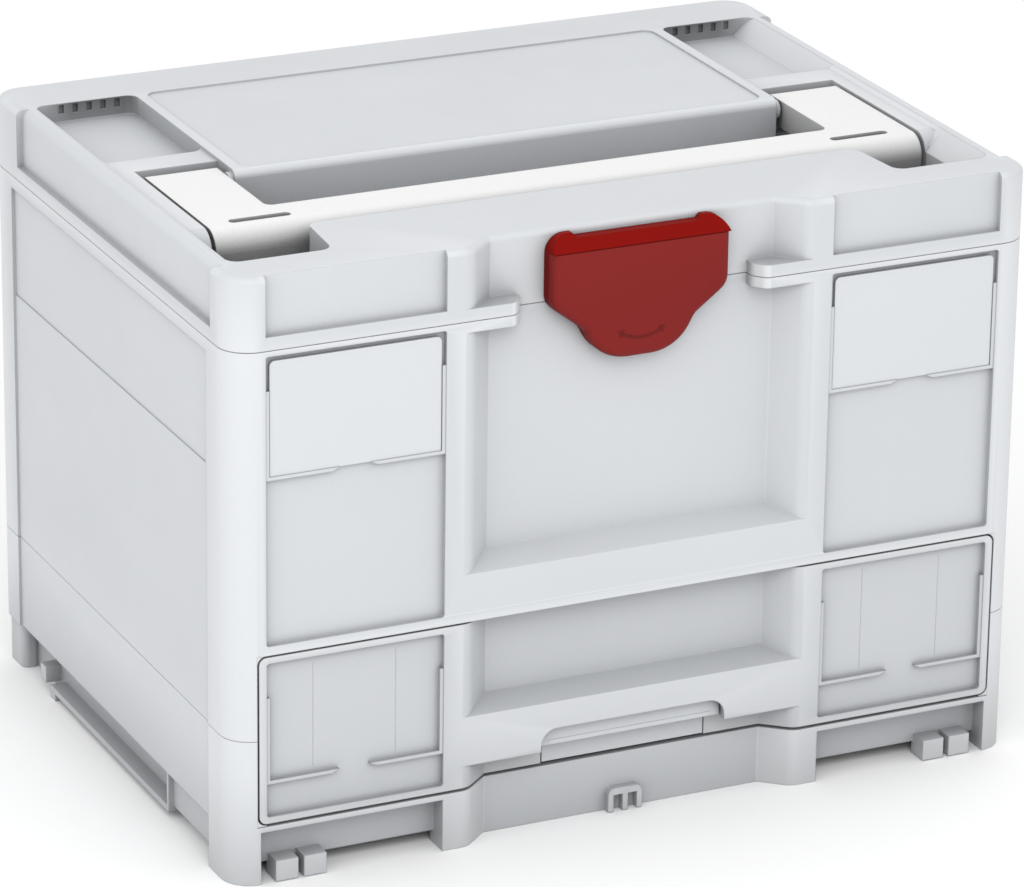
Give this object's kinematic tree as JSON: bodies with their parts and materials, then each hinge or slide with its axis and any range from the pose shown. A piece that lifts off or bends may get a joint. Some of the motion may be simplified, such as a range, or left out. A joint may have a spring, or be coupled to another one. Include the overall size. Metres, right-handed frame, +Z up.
{
  "type": "tool case with drawer",
  "caption": "Stackable plastic tool case: hinged lid with folding carry handle and turning latch over a deep compartment, and a drawer with a release lever below.",
  "frame": {"origin": "middle of the case's footprint, on the plane that its feet stand on", "axes": "+X to the right seen from the front, +Y from the drawer to the hinge side, +Z up through the lid"},
  "size_m": [0.396, 0.296, 0.287],
  "materials": {
    "housing": "fine-grained moulded plastic, light cool grey",
    "plate": "smooth moulded plastic, light cool grey",
    "runner": "low-friction plastic, mid grey",
    "handle": "speckled moulded plastic, off-white",
    "latch": "satin moulded plastic, dark red",
    "steel": "plain turned steel"
  },
  "bodies": {
    "case": {"case_body": "housing", "base_frame": "housing", "label_plate_left": "plate", "label_plate_right": "plate", "drawer_runner_left": "runner", "drawer_runner_right": "runner", "hinge_pin_left": "steel", "hinge_pin_right": "steel", "housing_screws": "steel"},
    "lid": {"lid_shell": "housing", "handle_pin_left": "steel", "handle_pin_right": "steel", "latch_washer": "steel"},
    "handle": {"carry_handle": "handle"},
    "latch": {"latch_base": "latch", "latch_cover": "latch", "latch_spindle": "steel", "latch_clip": "steel"},
    "drawer": {"drawer_front": "housing", "drawer_tub": "housing", "drawer_front_screws": "steel", "lever_pin": "steel"},
    "lever": {"drawer_lever": "plate"}
  },
  "joints": [
    {"name": "lid_hinge", "type": "hinge", "parent": "case", "child": "lid", "pos_m": [0, 0.1436, 0.2474], "axis": [-1, 0, 0], "range_deg": [0, 100]},
    {"name": "handle_swing", "type": "hinge", "parent": "lid", "child": "handle", "pos_m": [0, -0.0045, 0.2805], "axis": [-1, 0, 0], "range_deg": [0, 90]},
    {"name": "latch_turn", "type": "hinge", "parent": "lid", "child": "latch", "pos_m": [0, -0.1375, 0.262], "axis": [0, 1, 0], "range_deg": [-90, 90]},
    {"name": "drawer_slide", "type": "slide", "parent": "case", "child": "drawer", "axis": [0, -1, 0], "range_m": [0, 0.2]},
    {"name": "lever_pull", "type": "hinge", "parent": "drawer", "child": "lever", "pos_m": [0, -0.1382, 0.056], "axis": [-1, 0, 0], "range_deg": [0, 8], "stiffness_Nm_per_rad": 0.05, "springref_deg": -2.86}
  ]
}
